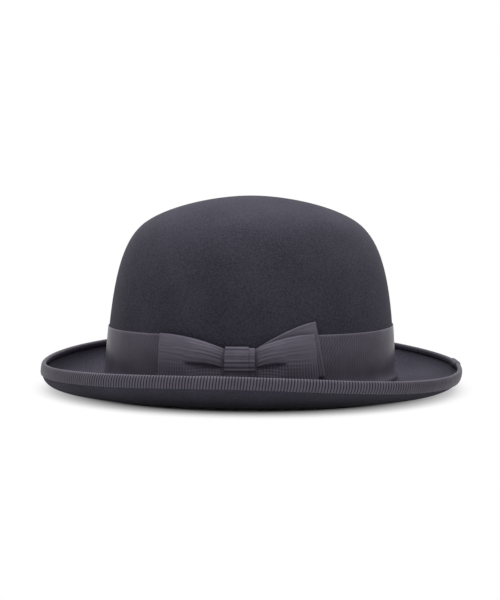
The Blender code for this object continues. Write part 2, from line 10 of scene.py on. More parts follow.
import bpy
import numpy as np
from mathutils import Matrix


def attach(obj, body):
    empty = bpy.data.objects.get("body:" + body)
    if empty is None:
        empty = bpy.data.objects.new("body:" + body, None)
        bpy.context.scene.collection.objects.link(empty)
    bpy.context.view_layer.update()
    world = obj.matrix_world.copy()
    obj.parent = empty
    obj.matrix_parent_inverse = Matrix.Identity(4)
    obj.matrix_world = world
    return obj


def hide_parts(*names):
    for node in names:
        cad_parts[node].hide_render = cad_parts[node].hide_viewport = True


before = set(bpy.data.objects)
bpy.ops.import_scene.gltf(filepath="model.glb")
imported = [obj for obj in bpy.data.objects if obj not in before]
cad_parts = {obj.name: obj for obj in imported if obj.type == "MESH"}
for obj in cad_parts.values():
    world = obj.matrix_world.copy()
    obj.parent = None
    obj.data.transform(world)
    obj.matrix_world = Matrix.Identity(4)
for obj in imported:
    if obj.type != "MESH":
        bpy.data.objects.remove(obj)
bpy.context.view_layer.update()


# ---------------------------------------------------------------- the camera
# A long lens 1.09 m from the hat's middle, about 34 mm above its top and tipped down a little.
# It looks at the wearer's left side, with the back of the hat a little nearer than the front.

CAMERA_PLACE = (0.0923, -1.0831, 0.1722)
CAMERA_DOWN = 5.75                   # tipped down from level
CAMERA_TURN = 4.88                   # turned to the left
CAMERA_LENS = 90.34                  # millimetres, for a 36 mm sensor
CAMERA_SHIFT = -0.0019


def add(name, data):
    """Adds an object with this data to the scene."""
    made = bpy.data.objects.new(name, data)
    bpy.context.collection.objects.link(made)
    return made


lens = bpy.data.cameras.new("camera")
lens.lens = CAMERA_LENS
lens.shift_x = CAMERA_SHIFT
camera = add("camera", lens)
camera.location = CAMERA_PLACE
camera.rotation_euler = (math.radians(90.0 - CAMERA_DOWN), 0.0, math.radians(CAMERA_TURN))
bpy.context.scene.camera = camera


# ---------------------------------------------------------------- the felt body
# Crown and brim are one piece of fur felt, stiffened with shellac and blocked to shape, with
# the brim curled up at the sides. Every sewn layer follows the middle of this felt.

MM = 0.001
FELT_THICKNESS = 1.6 * MM
CROWN_HALF_LENGTH = 103.8 * MM       # at the foot of the crown's wall
CROWN_HALF_WIDTH = 86.4 * MM
CROWN_HEIGHT = 137.6 * MM
CROWN_FORWARD = 0.14 * MM            # the crown's middle, in front of the origin
FOOT_FORWARD = 1.1 * MM              # the wall's foot, further forward than the crown
WALL_LEAN = 3.0                      # the wall leans in by this much at its foot
WALL_LEAN_TILT = 1.3                 # extra lean at the front, and less at the back
WALL_HANDLE = 60.0 * MM              # how far up the wall the outline keeps that lean
SHOULDER_INSET = 24.6 * MM           # the shoulder's place, in from the foot of the wall
SHOULDER_DROP = 21.6 * MM            # and down from the top
SHOULDER_SLOPE = 47.4
SHOULDER_HANDLE = 19.0 * MM
TOP_HANDLE = 28.0 * MM
BREAK_TOP = 17.2 * MM                # height where the wall starts to turn out
BREAK_ARCH = 2.0 * MM                # how much higher that is at the sides
BREAK_TILT = 0.65 * MM               # and at the back, against the front
BREAK_HOLLOW = 0.6                   # handle of its curve under the wall, a share of its drop
BREAK_SPREAD = 0.25                  # and handle over the brim, a share of the way out
BRIM_LENGTH = 45.9 * MM              # from the wall's foot to the edge, at front and back
BRIM_WIDTH = 42.4 * MM               # the same at the sides
BRIM_BACK = 0.66 * MM                # the middle of the edge's oval, behind the origin
BRIM_SQUARENESS = 2.28               # exponent of the edge's oval: 2 is an ellipse
REST_REACH_ENDS = 18.0 * MM          # from the wall's foot to the strip that it stands on
REST_REACH_SIDES = 13.5 * MM
REST_WIDTH = 4.0 * MM
SIDE_LIFT = 0.5 * MM                 # extra height of that strip at the sides
EDGE_HEIGHT = 16.9 * MM              # height of the edge at front and back
EDGE_SWEEP = 7.5 * MM                # extra height of the edge at the sides
EDGE_TILT = 2.0 * MM                 # extra height of the edge at the front
CURL_FLAT_ENDS = 0.7                 # handle of the curl on the level, a share of the way out
CURL_FLAT_SIDES = 0.2
CURL_STEEP_FRONT = 0.84              # and handle under the edge, a share of its rise
CURL_STEEP_BACK = 0.6
CURL_STEEP_SIDES = 0.3
EDGE_LEAN_FRONT = 14.0               # how far past upright the edge leans in
EDGE_LEAN_BACK = 5.0
EDGE_LEAN_SIDES = 22.0
LEVEL_SHARE = 0.15                   # sine of the turn from front or back where it rises
SIDE_POWER = 2.45                    # how late it rises after that
SIDE_POWER_TILT = 0.55               # the brim rises later at the back than at the front
FELT_FACE = FELT_THICKNESS / 2
SHOULDER, WALL_FOOT, REST_START, REST_END, EDGE = 1.0, 2.0, 3.0, 4.0, 5.0    # the top is 0
NUDGE = 1e-4                         # step in angle and station that finds directions
HALVINGS = 40
FELT_AROUND = 240
FELT_ROWS = (26, 18, 14, 3, 20)      # rows in each stretch from the crown's top to the edge
FIBRE_SIZE = 1.0 * MM
CLOUD_SIZE = 30.0 * MM               # of the soft changes in tone
NAP_DEPTH = 0.18 * MM
FELT_DARK = (52, 50, 60)             # as seen, 0 to 255
FELT_LIGHT = (74, 72, 84)


def blend(low, high, share):
    return low + (high - low) * share


def bezier(start, handle_a, handle_b, end, share):
    """Distance and height on a cubic curve between two such pairs."""
    rest = 1.0 - share
    weights = (rest ** 3, 3 * rest ** 2 * share, 3 * rest * share ** 2, share ** 3)
    pairs = (start, handle_a, handle_b, end)
    return [sum(w * pair[axis] for w, pair in zip(weights, pairs)) for axis in (0, 1)]


def side_rise(angle):
    """0 over the level stretches at front and back, 1 at the sides."""
    beyond = np.maximum(0.0, np.abs(np.sin(angle)) - LEVEL_SHARE)
    return (beyond / (1.0 - LEVEL_SHARE)) ** (SIDE_POWER + SIDE_POWER_TILT * np.cos(angle))


def round_hat(angle, front, back, sides):
    """A value that differs at the front, the back and the sides of the hat."""
    ends = blend(front, back, (1.0 + np.cos(angle)) / 2)
    return blend(ends, sides, np.sin(angle) ** 2)


def wall_foot_height(angle):
    return BREAK_TOP + BREAK_ARCH * side_rise(angle) + BREAK_TILT * np.cos(angle)


def wall_lean(angle):
    return np.radians(WALL_LEAN - WALL_LEAN_TILT * np.cos(angle))


def wall_foot_share(angle):
    """Reach of the wall's foot, as a share of the crown's half length."""
    return 1.0 - FOOT_FORWARD / CROWN_HALF_LENGTH * np.cos(angle)


def crown_outline(angle, station):
    """Share of the crown's half length, and height, from the top to the wall's foot."""
    lean = wall_lean(angle)
    slope = math.radians(SHOULDER_SLOPE)
    foot = (CROWN_HALF_LENGTH * wall_foot_share(angle), wall_foot_height(angle))
    shoulder = (CROWN_HALF_LENGTH - SHOULDER_INSET, CROWN_HEIGHT - SHOULDER_DROP)
    reach = (SHOULDER_HANDLE * math.sin(slope), SHOULDER_HANDLE * math.cos(slope))
    over = (shoulder[0] - reach[0], shoulder[1] + reach[1])
    under = (shoulder[0] + reach[0], shoulder[1] - reach[1])
    up_wall = (foot[0] - WALL_HANDLE * np.sin(lean), foot[1] + WALL_HANDLE * np.cos(lean))
    top = (0.0, CROWN_HEIGHT)
    dome = bezier(top, (TOP_HANDLE, CROWN_HEIGHT), over, shoulder, station)
    wall = bezier(shoulder, under, up_wall, foot, station - SHOULDER)
    distance, height = (np.where(station <= SHOULDER, a, b) for a, b in zip(dome, wall))
    return distance / CROWN_HALF_LENGTH, height


def brim_outline(angle, width, station):
    """Distance out from the wall's foot, and height, along the brim."""
    side = np.sin(angle) ** 2
    foot = (0.0, wall_foot_height(angle))
    level = FELT_FACE + SIDE_LIFT * side_rise(angle)
    reach = blend(REST_REACH_ENDS, REST_REACH_SIDES, side)
    edge = EDGE_HEIGHT + EDGE_SWEEP * side_rise(angle) - EDGE_TILT * np.cos(angle)
    drop = BREAK_HOLLOW * (foot[1] - level)
    down = (drop * np.sin(wall_lean(angle)), foot[1] - drop)
    hollow = bezier(foot, down, (BREAK_SPREAD * reach, level), (reach, level), station - WALL_FOOT)
    start = reach + REST_WIDTH
    flat = (start + blend(CURL_FLAT_ENDS, CURL_FLAT_SIDES, side) * (width - start), level)
    steep = round_hat(angle, CURL_STEEP_FRONT, CURL_STEEP_BACK, CURL_STEEP_SIDES) * (edge - level)
    lean = np.radians(round_hat(angle, EDGE_LEAN_FRONT, EDGE_LEAN_BACK, EDGE_LEAN_SIDES))
    steep = (width + steep * np.tan(lean), edge - steep)
    curl = bezier((start, level), flat, steep, (width, edge), station - REST_END)
    strip = (reach + REST_WIDTH * (station - REST_START), level + 0.0 * station)
    stretches = [station <= REST_START, station <= REST_END]
    return [np.select(stretches, [hollow[axis], strip[axis]], curl[axis]) for axis in (0, 1)]


def felt_middle(angle, station):
    """Points on the middle of the felt. The angle is 0 at the back, and 90 on the right side."""
    angle, station = np.broadcast_arrays(angle, station)
    cos, sin = np.cos(angle), np.sin(angle)
    middle = np.array([-CROWN_FORWARD, 0.0])
    reach = np.stack([CROWN_HALF_LENGTH * cos, CROWN_HALF_WIDTH * sin], axis=-1)
    foot = middle + reach * wall_foot_share(angle)[..., None]
    power = BRIM_SQUARENESS
    square = (np.abs(cos) ** power + np.abs(sin) ** power) ** (-1.0 / power)
    edge_x = (CROWN_HALF_LENGTH + BRIM_LENGTH) * cos * square + BRIM_BACK
    edge_y = (CROWN_HALF_WIDTH + BRIM_WIDTH) * sin * square
    across = np.stack([edge_x, edge_y], axis=-1) - foot
    width = np.linalg.norm(across, axis=-1)
    share, crown_height = crown_outline(angle, station)
    distance, brim_height = brim_outline(angle, width, station)
    on_crown = station <= WALL_FOOT
    outward = foot + across * (distance / width)[..., None]
    flat = np.where(on_crown[..., None], middle + reach * share[..., None], outward)
    height = np.where(on_crown, crown_height, brim_height)
    return np.concatenate([flat, height[..., None]], axis=-1)


def unit(vectors):
    return vectors / np.linalg.norm(vectors, axis=-1, keepdims=True)


def felt_directions(angle, station):
    """Unit vectors on the felt: square to it, out of the crown, and along it to the edge."""
    low = np.maximum(NUDGE, station - NUDGE)
    high = np.minimum(EDGE, station + NUDGE)
    along = unit(felt_middle(angle, high) - felt_middle(angle, low))
    around = felt_middle(angle + NUDGE, station) - felt_middle(angle - NUDGE, station)
    return unit(np.cross(along, around)), along


def layer_points(angle, station, out):
    """Points on a layer that lies this far out from the felt's middle (in, if negative)."""
    angle, station, out = np.broadcast_arrays(angle, station, out)
    normal, _ = felt_directions(angle, station)
    return felt_middle(angle, station) + normal * out[..., None]


def angles_round(count, start=0.0, turn=360.0):
    """count + 1 angles in radians, as a column. A full turn ends where it started."""
    return np.radians(start + turn * np.arange(count + 1) / count)[:, None]


def solid_mesh(name, vertices, faces, look):
    """A smooth piece with this material."""
    mesh = bpy.data.meshes.new(name)
    mesh.from_pydata([tuple(vertex) for vertex in vertices], [], faces)
    mesh.shade_smooth()
    mesh.materials.append(look)
    return add(name, mesh)


def surface(name, points, flat, look, centre=None):
    """A mesh through a grid of points. flat gives each point's place on the uncut cloth.

    Where the last line of points repeats the first, the two are one. centre is a point that
    closes the sheet where the lines start.
    """
    steps, rows = points.shape[:2]
    closed = bool(np.allclose(points[0], points[-1], atol=1e-6))
    lines = steps - 1 if closed else steps
    vertices = list(points[:lines].reshape(-1, 3))
    faces, places = [], []
    for step in range(steps - 1):
        after = (step + 1) % lines
        for row in range(rows - 1):
            corners = ((step, row), (step, row + 1), (step + 1, row + 1), (step + 1, row))
            faces.append([(after if s > step else s) * rows + r for s, r in corners])
            places.extend(flat[s, r] for s, r in corners)
        if centre is not None:
            faces.append([len(vertices), step * rows, after * rows])
            places.extend([flat[step, 0], flat[step, 0], flat[step + 1, 0]])
    if centre is not None:
        vertices.append(centre)
    made = solid_mesh(name, vertices, faces, look)
    cloth = made.data.uv_layers.new(name="cloth")
    cloth.uv.foreach_set("vector", np.array(places, np.float32).ravel())
    return made


def thicken(piece, thickness, rim=0.25):
    """Gives a sheet its thickness, both ways, and rounds its cut edges."""
    solid = piece.modifiers.new("thickness", "SOLIDIFY")
    solid.thickness = thickness
    solid.offset = 0.0
    edges = piece.modifiers.new("rounded edges", "BEVEL")
    edges.width = thickness * rim
    edges.limit_method = "ANGLE"
    edges.angle_limit = math.radians(60.0)


def place_on_hat(piece, node, thickness=None):
    """Puts a piece in place of its CAD node, and gives it this thickness if one is given."""
    if thickness:
        thicken(piece, thickness)
    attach(piece, "root")
    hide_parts(node)


def seen(colour):
    """A colour given as seen on a screen, 0 to 255, as a shader takes it."""
    shares = [part / 255.0 for part in colour]
    light = [s / 12.92 if s <= 0.04045 else ((s + 0.055) / 1.055) ** 2.4 for s in shares]
    return (*light, 1.0)


class Wire:
    """One socket of a material's nodes. Arithmetic on wires adds the Math nodes for it."""

    def __init__(self, tree, socket=None):
        self.tree = tree
        self.socket = socket

    def feed(self, node, values):
        """Gives a node's sockets their values, or links them to wires."""
        for key, value in values.items():
            if isinstance(value, Wire):
                self.tree.links.new(value.socket, node.inputs[key])
            else:
                node.inputs[key].default_value = value

    def node(self, kind, settings, values, output=0):
        """Adds a node. Its settings are set first, then its sockets' values and links."""
        made = self.tree.nodes.new(kind)
        for name, value in settings.items():
            setattr(made, name, value)
        self.feed(made, values)
        return Wire(self.tree, made.outputs[output])

    def math(self, operation, *values):
        return self.node("ShaderNodeMath", {"operation": operation}, dict(enumerate(values)))

    def __add__(self, other):
        return self.math("ADD", self, other)

    def __sub__(self, other):
        return self.math("SUBTRACT", self, other)

    def __rsub__(self, other):
        return self.math("SUBTRACT", other, self)

    def __mul__(self, other):
        return self.math("MULTIPLY", self, other)

    def __pow__(self, other):
        return self.math("POWER", self, other)

    __radd__ = __add__
    __rmul__ = __mul__

    def wave(self, pitch):
        """0 to 1 and back over each pitch of this length."""
        return self.math("COSINE", self * (2 * math.pi / pitch)) * 0.5 + 0.5

    def clipped(self, low, high):
        """0 at low and 1 at high, and straight between."""
        return self.node("ShaderNodeMapRange", {"clamp": True}, {0: self, 1: low, 2: high})

    def mixed(self, other, share):
        """This wire where share is 0, and the other where it is 1."""
        return self + (other - self) * share

    def tint(self, low, high):
        """The colour from low to high, both as seen, that this share gives."""
        values = {0: self, 6: seen(low), 7: seen(high)}
        return self.node("ShaderNodeMix", {"data_type": "RGBA"}, values, output=2)

    def part(self, axis):
        """One part of a place. On cloth, 0 is along it and 1 is across it."""
        return self.node("ShaderNodeSeparateXYZ", {}, {0: self}, output=axis)

    def larger(self, other):
        return self.math("MAXIMUM", self, other)

    def noise(self, size, detail=2.0, stretch=(1.0, 1.0, 1.0)):
        """Soft random values with spots of about this size, for this place."""
        scale = tuple(part / size for part in stretch)
        place = self.node("ShaderNodeVectorMath", {"operation": "MULTIPLY"}, {0: self, 1: scale})
        return self.node("ShaderNodeTexNoise", {}, {"Vector": place, "Scale": 1.0, "Detail": detail})

    def bump(self, depth, strength=1.0):
        """A normal for a surface that rises by this depth where the wire goes from 0 to 1."""
        values = {"Height": self, "Distance": depth, "Strength": strength}
        return self.node("ShaderNodeBump", {}, values)


def new_look(name):
    """A material, a wire to start from, and the place on the hat."""
    made = bpy.data.materials.new(name)
    made.use_nodes = True
    start = Wire(made.node_tree)
    return made, start, start.node("ShaderNodeTexCoord", {}, {}, output="Object")


def finish(made, values):
    """Gives the material's surface its finish, and gives the material back."""
    shader = made.node_tree.nodes["Principled BSDF"]
    Wire(made.node_tree).feed(shader, values)
    return made


def felt_look():
    made, _, place = new_look("fur felt")
    fibres = place.noise(FIBRE_SIZE, 3.0)
    clouds = place.noise(CLOUD_SIZE, 1.0)
    tone = (fibres * 0.75 + clouds * 0.25).clipped(0.36, 0.64)
    return finish(made, {
        "Base Color": tone.tint(FELT_DARK, FELT_LIGHT),
        "Roughness": 0.95,
        "Specular IOR Level": 0.1,
        "Sheen Weight": 0.06,
        "Sheen Roughness": 0.5,
        "Normal": fibres.bump(NAP_DEPTH, 0.8),
    })


stations = [np.linspace(start, start + 1.0, rows, endpoint=False) + 1.0 / rows
            for start, rows in zip(range(5), FELT_ROWS)]
felt_stations = np.concatenate(stations)[None, :]
felt_angles = angles_round(FELT_AROUND)
felt_points = layer_points(felt_angles, felt_stations, 0.0)
felt_flat = np.stack(np.broadcast_arrays(felt_angles, felt_stations), axis=-1)
crown_top = (-CROWN_FORWARD, 0.0, CROWN_HEIGHT)
felt = surface("felt_hat", felt_points, felt_flat, felt_look(), centre=crown_top)
place_on_hat(felt, "felt_body", FELT_THICKNESS)


# ---------------------------------------------------------------- the ribbon round the crown
# A band of grosgrain, 38 mm wide, drawn tight round the foot of the crown and tacked to the
# felt. Its ends meet under the bow, whose knot draws its upper edge down with the loops.

CLEARANCE = 0.3 * MM                 # air between two sewn layers
RIBBON_THICKNESS = 0.5 * MM
HATBAND_WIDTH = 38.0 * MM
HATBAND_TOP = 45.3 * MM              # height of its upper edge
HATBAND_OUT = FELT_FACE + CLEARANCE + RIBBON_THICKNESS / 2
HATBAND_FACE = HATBAND_OUT + RIBBON_THICKNESS / 2
HATBAND_AROUND = 360
HATBAND_ROWS = 20
HATBAND_GAP = 0.5                    # turn left open under the bow
HATBAND_TUCK = 1.0 * MM              # how far it stays below the loops' edge at the knot
KNOT_HALF_WIDTH = 9.8 * MM
BOW_FRONT_REACH = 53.1 * MM          # from the knot's middle to the front loop's end
BOW_BACK_REACH = 48.4 * MM
BOW_PINCH_ABOVE = 8.9 * MM           # how far the knot draws the upper edge down
RIB_PITCH = 2.05 * MM
HATBAND_RELIEF = 0.05 * MM
RIB_WANDER = 0.5 * MM                # how far a rib strays from its even place
UPPER_EDGE_HIGHLIGHT = (0.9 * MM, 0.5 * MM)      # painted highlight along the upper edge, as the lamp above lights it; it fades out between these distances from the edge
WATERED_PITCH = 2.7 * MM
WATERED_LEAN = -9.0                  # how fast the pattern's lean grows along the hat
RIBBON_SHINE = 0.07
RIBBON_DARK = (72, 69, 79)
RIBBON_LIGHT = (118, 113, 127)


def wall_station(angle, height):
    """Station of the crown's wall and break at this height, found by halving."""
    angle, height = np.broadcast_arrays(angle, height)
    low = np.full(angle.shape, SHOULDER / 2)
    high = np.full(angle.shape, REST_START)
    for _ in range(HALVINGS):
        middle = (low + high) / 2
        above = felt_middle(angle, middle)[..., 2] > height
        low = np.where(above, middle, low)
        high = np.where(above, high, middle)
    return low


def wall_points(angle, height, out):
    """Points on a layer along the crown's wall at this height."""
    return layer_points(angle, wall_station(angle, height), out)


def walked(points):
    """How far along a line of points each one is."""
    steps = np.linalg.norm(np.diff(points, axis=0), axis=-1)
    return np.concatenate([[0.0], steps.cumsum()])


def cloth_places(points, width):
    """Places on the flat ribbon: along it by its middle row, and across it by its width."""
    middle = points[:, points.shape[1] // 2]
    along, across = walked(middle)[:, None], np.linspace(0.0, width, points.shape[1])[None, :]
    return np.stack(np.broadcast_arrays(along, across), axis=-1)


def cloth_surface(name, points, width, look):
    """A mesh of cloth that is this wide when flat, through a grid of points."""
    return surface(name, points, cloth_places(points, width), look)


def new_cloth(name):
    """A material, the place on the uncut cloth, and the place on the hat."""
    made, start, place = new_look(name)
    return made, start.node("ShaderNodeUVMap", {"uv_map": "cloth"}, {}), place


def finish_ribbon(made, tone, relief, depth, dark=RIBBON_DARK):
    """Silky dark ribbon. tone goes from its dark to its light, and relief is 0 to 1 high."""
    return finish(made, {
        "Base Color": tone.tint(dark, RIBBON_LIGHT),
        "Roughness": 0.3,
        "Specular IOR Level": RIBBON_SHINE,
        "Normal": relief.bump(depth),
    })


def hatband_look():
    """Fine ribs across the band under a faint watered pattern, which leans out at both ends."""
    made, cloth, place = new_cloth("hatband")
    along, across = cloth.part(0), cloth.part(1)
    lean = place.part(0) * WATERED_LEAN
    watered = (along - across * lean).wave(WATERED_PITCH)
    rib = (along + cloth.noise(9.0 * MM, 1.0) * RIB_WANDER).wave(RIB_PITCH)
    # A thin painted highlight along the band's upper edge, where the lamp above lights it.
    upper_edge_highlight = across.clipped(*UPPER_EDGE_HIGHLIGHT)
    tone = rib * 0.15 + watered * 0.3 + upper_edge_highlight * 0.4 + place.noise(14.0 * MM) * 0.6
    return finish_ribbon(made, tone, rib, HATBAND_RELIEF)


def reach_share(x, start, left, right):
    """0 up to the side of a bow's knot, and 1 at the ends of loops with these reaches."""
    reach = np.where(x > 0, right, left)
    return np.clip((np.abs(x) - start) / (reach - start), 0.0, 1.0)


def hatband_top(angle):
    return HATBAND_TOP + BREAK_ARCH * side_rise(angle) + BREAK_TILT * np.cos(angle)


def drawn_top(angle):
    """The same, drawn down behind the bow's loops."""
    side = KNOT_HALF_WIDTH + 2 * CLEARANCE
    x = CROWN_HALF_LENGTH * np.cos(angle)
    near = 1.0 - reach_share(x, side, BOW_FRONT_REACH, BOW_BACK_REACH)
    loops = HATBAND_TOP + BREAK_ARCH + BREAK_TILT * np.cos(angle) - BOW_PINCH_ABOVE * near ** 2
    drawn = np.minimum(hatband_top(angle), loops - HATBAND_TUCK * near)
    return np.where((np.sin(angle) < 0.0) & (near > 0.0), drawn, hatband_top(angle))


band_angles = angles_round(HATBAND_AROUND, -90.0 + HATBAND_GAP / 2, 360.0 - HATBAND_GAP)
band_bottom = hatband_top(band_angles) - HATBAND_WIDTH
band_heights = blend(drawn_top(band_angles), band_bottom, np.linspace(0.0, 1.0, HATBAND_ROWS))
band_points = wall_points(band_angles, band_heights, HATBAND_OUT)
band = cloth_surface("hatband_ribbon", band_points, HATBAND_WIDTH, hatband_look())
place_on_hat(band, "hatband", RIBBON_THICKNESS)


# ---------------------------------------------------------------- the brim's binding
# Ribbon folded over the brim's cut edge and sewn through close to its lower edge. Its deep
# ribs lean more and more towards the front of the hat, and its end laps over its start at
# the back.

BINDING_OUTER_LEG = 6.6 * MM
BINDING_INNER_LEG = 2.2 * MM
BINDING_START = 7.5                  # degrees round from the back
BINDING_LAP = 7.5
LAYER_STEP = RIBBON_THICKNESS + CLEARANCE
BINDING_RIB = 2.0 * MM
BINDING_RIB_DEPTH = 0.22 * MM
BINDING_RIB_LEAN = 0.35              # how far a rib leans, along for each length across
BINDING_TOOTH = 0.35 * MM            # how far the ribs' ends stand out below the edge
BINDING_RELIEF = 0.1 * MM            # of the finish, over the ribs' own depth
GROOVE_SHADE = (26, 24, 30)           # painted shade between the ribs
RIBS_FADE = (95 * MM, 130 * MM)      # distance from the middle where the ribs and their painted groove shade grow faint
PLAIN_TONE = 0.46                    # the tone left where they have faded
INNER_ROWS, OUTER_ROWS = 3, 9        # of points on each leg
SAMPLES_A_RIB = 5
CURL_SAMPLES = 150
FOLD_TURNS = (30.0, 60.0, 90.0, 120.0, 150.0)    # where a fold in ribbon has its points
BINDING_LENGTH = 0.91                # about, to count the samples round it
BINDING_WIDTH = BINDING_INNER_LEG + math.pi * HATBAND_OUT + BINDING_OUTER_LEG


def curl_stations(angle, backs):
    """Stations at these distances back from the brim's edge, one line for each angle."""
    steps = np.linspace(EDGE, REST_END, CURL_SAMPLES)
    walk = felt_middle(angle, steps[None, :])
    lengths = np.linalg.norm(np.diff(walk, axis=1), axis=2).cumsum(axis=1)
    lengths = np.concatenate([np.zeros((len(lengths), 1)), lengths], axis=1)
    return np.array([np.interp(back, row, steps) for back, row in zip(backs, lengths)])


def ribbed(along):
    """The height of a ribbon's ribs, 0 to 1: round ribs with narrow grooves between them."""
    return np.abs(np.cos(math.pi * along / BINDING_RIB)) ** 0.8


def binding_look():
    """Deep ribs, with painted shade in their grooves. The cloth's places count along the ribs' own
    lean.
    """
    made, cloth, place = new_cloth("binding")
    x = place.part(0)
    plain = x.math("ABSOLUTE", x).clipped(*RIBS_FADE)
    rib = (cloth.part(0).wave(BINDING_RIB) ** 0.6).mixed(PLAIN_TONE, plain)
    # The tone drops to the groove colour between the ribs: painted shade in the grooves.
    tone = rib * 0.95 + place.noise(9.0 * MM) * 0.2 - 0.16
    return finish_ribbon(made, tone, rib, BINDING_RELIEF, GROOVE_SHADE)


def rib_lean(angle):
    """How far the ribs lean: not at all at the back, and most at the front."""
    return np.clip(0.5 - 0.9 * np.cos(angle), 0.0, 1.0) * BINDING_RIB_LEAN


def fold_points(angle, edge, reach):
    """Rows of points where the ribbon turns over the brim's edge, this far from it."""
    normal, down = (d[:, 0] for d in felt_directions(angle, EDGE))
    rows = []
    for turn in np.radians(FOLD_TURNS):
        spoke = normal * math.cos(turn) + down * math.sin(turn)
        rows.append(edge + spoke * reach)
    return np.stack(rows, axis=1)


def binding_points(angle, lift):
    """Points of the folded ribbon, from its inner leg's edge over to its outer leg's edge.

    Also gives their places on the cloth, where each rib stays at one place along it.
    """
    edge = felt_middle(angle, EDGE)[:, 0]
    along = walked(edge)[:, None]
    inner_backs = np.linspace(BINDING_INNER_LEG, 0.0, INNER_ROWS)[None, :] + 0.0 * angle
    outer_shares = np.linspace(0.0, 1.0, OUTER_ROWS)[None, :]
    lean = rib_lean(angle)
    tooth = BINDING_TOOTH * ribbed(along + lean * BINDING_OUTER_LEG)
    outer_backs = outer_shares * (BINDING_OUTER_LEG - BINDING_TOOTH + tooth)
    inner_along, outer_along = along - lean * inner_backs, along + lean * outer_backs
    base = HATBAND_OUT - BINDING_RIB_DEPTH / 2 + lift
    inner_out = base + BINDING_RIB_DEPTH * ribbed(inner_along)
    outer_out = base + BINDING_RIB_DEPTH * ribbed(outer_along)
    inner = layer_points(angle, curl_stations(angle, inner_backs), inner_out)
    outer = layer_points(angle, curl_stations(angle, outer_backs), -outer_out)
    fold = fold_points(angle, edge, base + BINDING_RIB_DEPTH * ribbed(along))
    points = np.concatenate([inner, fold, outer], axis=1)
    fold_along = np.repeat(along, len(FOLD_TURNS), axis=1)
    flat = cloth_places(points, BINDING_WIDTH)
    flat[..., 0] = np.concatenate([inner_along, fold_along, outer_along], axis=1)
    return points, flat


binding_turn = 360.0 + BINDING_LAP
binding_steps = int(BINDING_LENGTH / BINDING_RIB * SAMPLES_A_RIB)
binding_angles = angles_round(binding_steps, BINDING_START, binding_turn)
beyond = np.degrees(binding_angles) - BINDING_START - 360.0
binding_lift = LAYER_STEP * np.clip(beyond + 1.0, 0.0, 1.0)
bound, bound_flat = binding_points(binding_angles, binding_lift)
binding = surface("brim_edge_ribbon", bound, bound_flat, binding_look())
place_on_hat(binding, "brim_binding", RIBBON_THICKNESS)


# ---------------------------------------------------------------- the binding's stitches
# A row of short stitches in dark thread, 4 mm apart. They go through the binding and the felt,
# just above the binding's lower edge.

THREAD = 0.4 * MM
SEAM_INSET = 1.4 * MM                # from the binding's lower edge
STITCH_LENGTH = 1.8 * MM
STITCH_STEP = 4.0 * MM
# Sections of a stitch: their places along it, and their shares of the thread's thickness.
STITCH_SECTIONS = ((-0.5, 0.35), (-0.38, 0.85), (0.0, 1.0), (0.38, 0.85), (0.5, 0.35))
STITCH_SIDES = 6
THREAD_DARK = (52, 49, 58)
THREAD_LIGHT = (67.6, 63.7, 75.4)


def thread_look():
    made, _, place = new_look("sewing thread")
    twist = place.noise(0.5 * MM, 1.0)
    return finish(made, {
        "Base Color": twist.tint(THREAD_DARK, THREAD_LIGHT),
        "Roughness": 0.55,
        "Normal": twist.bump(0.05 * MM),
    })


def tube_faces(rings, sides, first, closed=False):
    """Faces of a tube whose rings of points follow each other from the vertex first on."""
    faces = []
    for ring in range(rings if closed else rings - 1):
        here, there = first + ring * sides, first + (ring + 1) % rings * sides
        for side in range(sides):
            after = (side + 1) % sides
            faces.append((here + side, here + after, there + after, there + side))
    return faces


def stitch_points(centre, along, out):
    """Rings of points round one stitch, whose two ends dip into the cloth."""
    across = np.cross(along, out)
    points = []
    for share, size in STITCH_SECTIONS:
        spot = centre + along * share * STITCH_LENGTH - out * THREAD * (2 * share) ** 2
        for turn in np.radians(np.arange(STITCH_SIDES) * 360.0 / STITCH_SIDES):
            spoke = out * math.cos(turn) + across * math.sin(turn)
            points.append(spot + spoke * size * THREAD / 2)
    return points


def stitch_row(name, line, outward, look):
    """Stitches along a closed line of points. outward points away from the cloth."""
    lengths = walked(line)
    count = int(lengths[-1] / STITCH_STEP)
    vertices, faces = [], []
    for middle in (np.arange(count) + 0.5) * lengths[-1] / count:
        nearest = int(np.searchsorted(lengths, middle))
        centre = np.array([np.interp(middle, lengths, line[:, axis]) for axis in range(3)])
        along = unit(line[nearest] - line[nearest - 1])
        first = len(vertices)
        vertices += stitch_points(centre, along, outward[nearest])
        faces += tube_faces(len(STITCH_SECTIONS), STITCH_SIDES, first)
        faces.append(tuple(range(first, first + STITCH_SIDES)))
        faces.append(tuple(range(len(vertices) - STITCH_SIDES, len(vertices))))
    return solid_mesh(name, vertices, faces, look)


seam_angles = angles_round(1440, BINDING_START + BINDING_LAP)
seam_backs = np.full(seam_angles.shape, BINDING_OUTER_LEG - SEAM_INSET)
seam_stations = curl_stations(seam_angles, seam_backs)
seam_normal, _ = felt_directions(seam_angles, seam_stations)
seam_line = felt_middle(seam_angles, seam_stations) - seam_normal * (HATBAND_FACE + THREAD / 4)
thread = thread_look()
seam = stitch_row("binding_stitches", seam_line[:, 0], -seam_normal[:, 0], thread)
place_on_hat(seam, "binding_stitching")


# ---------------------------------------------------------------- the bow's loops
# One length of the same grosgrain, folded to a flat ring and drawn in at its middle. Near the
# knot the upper half of each loop is gathered and hangs over a crease in the front layer.

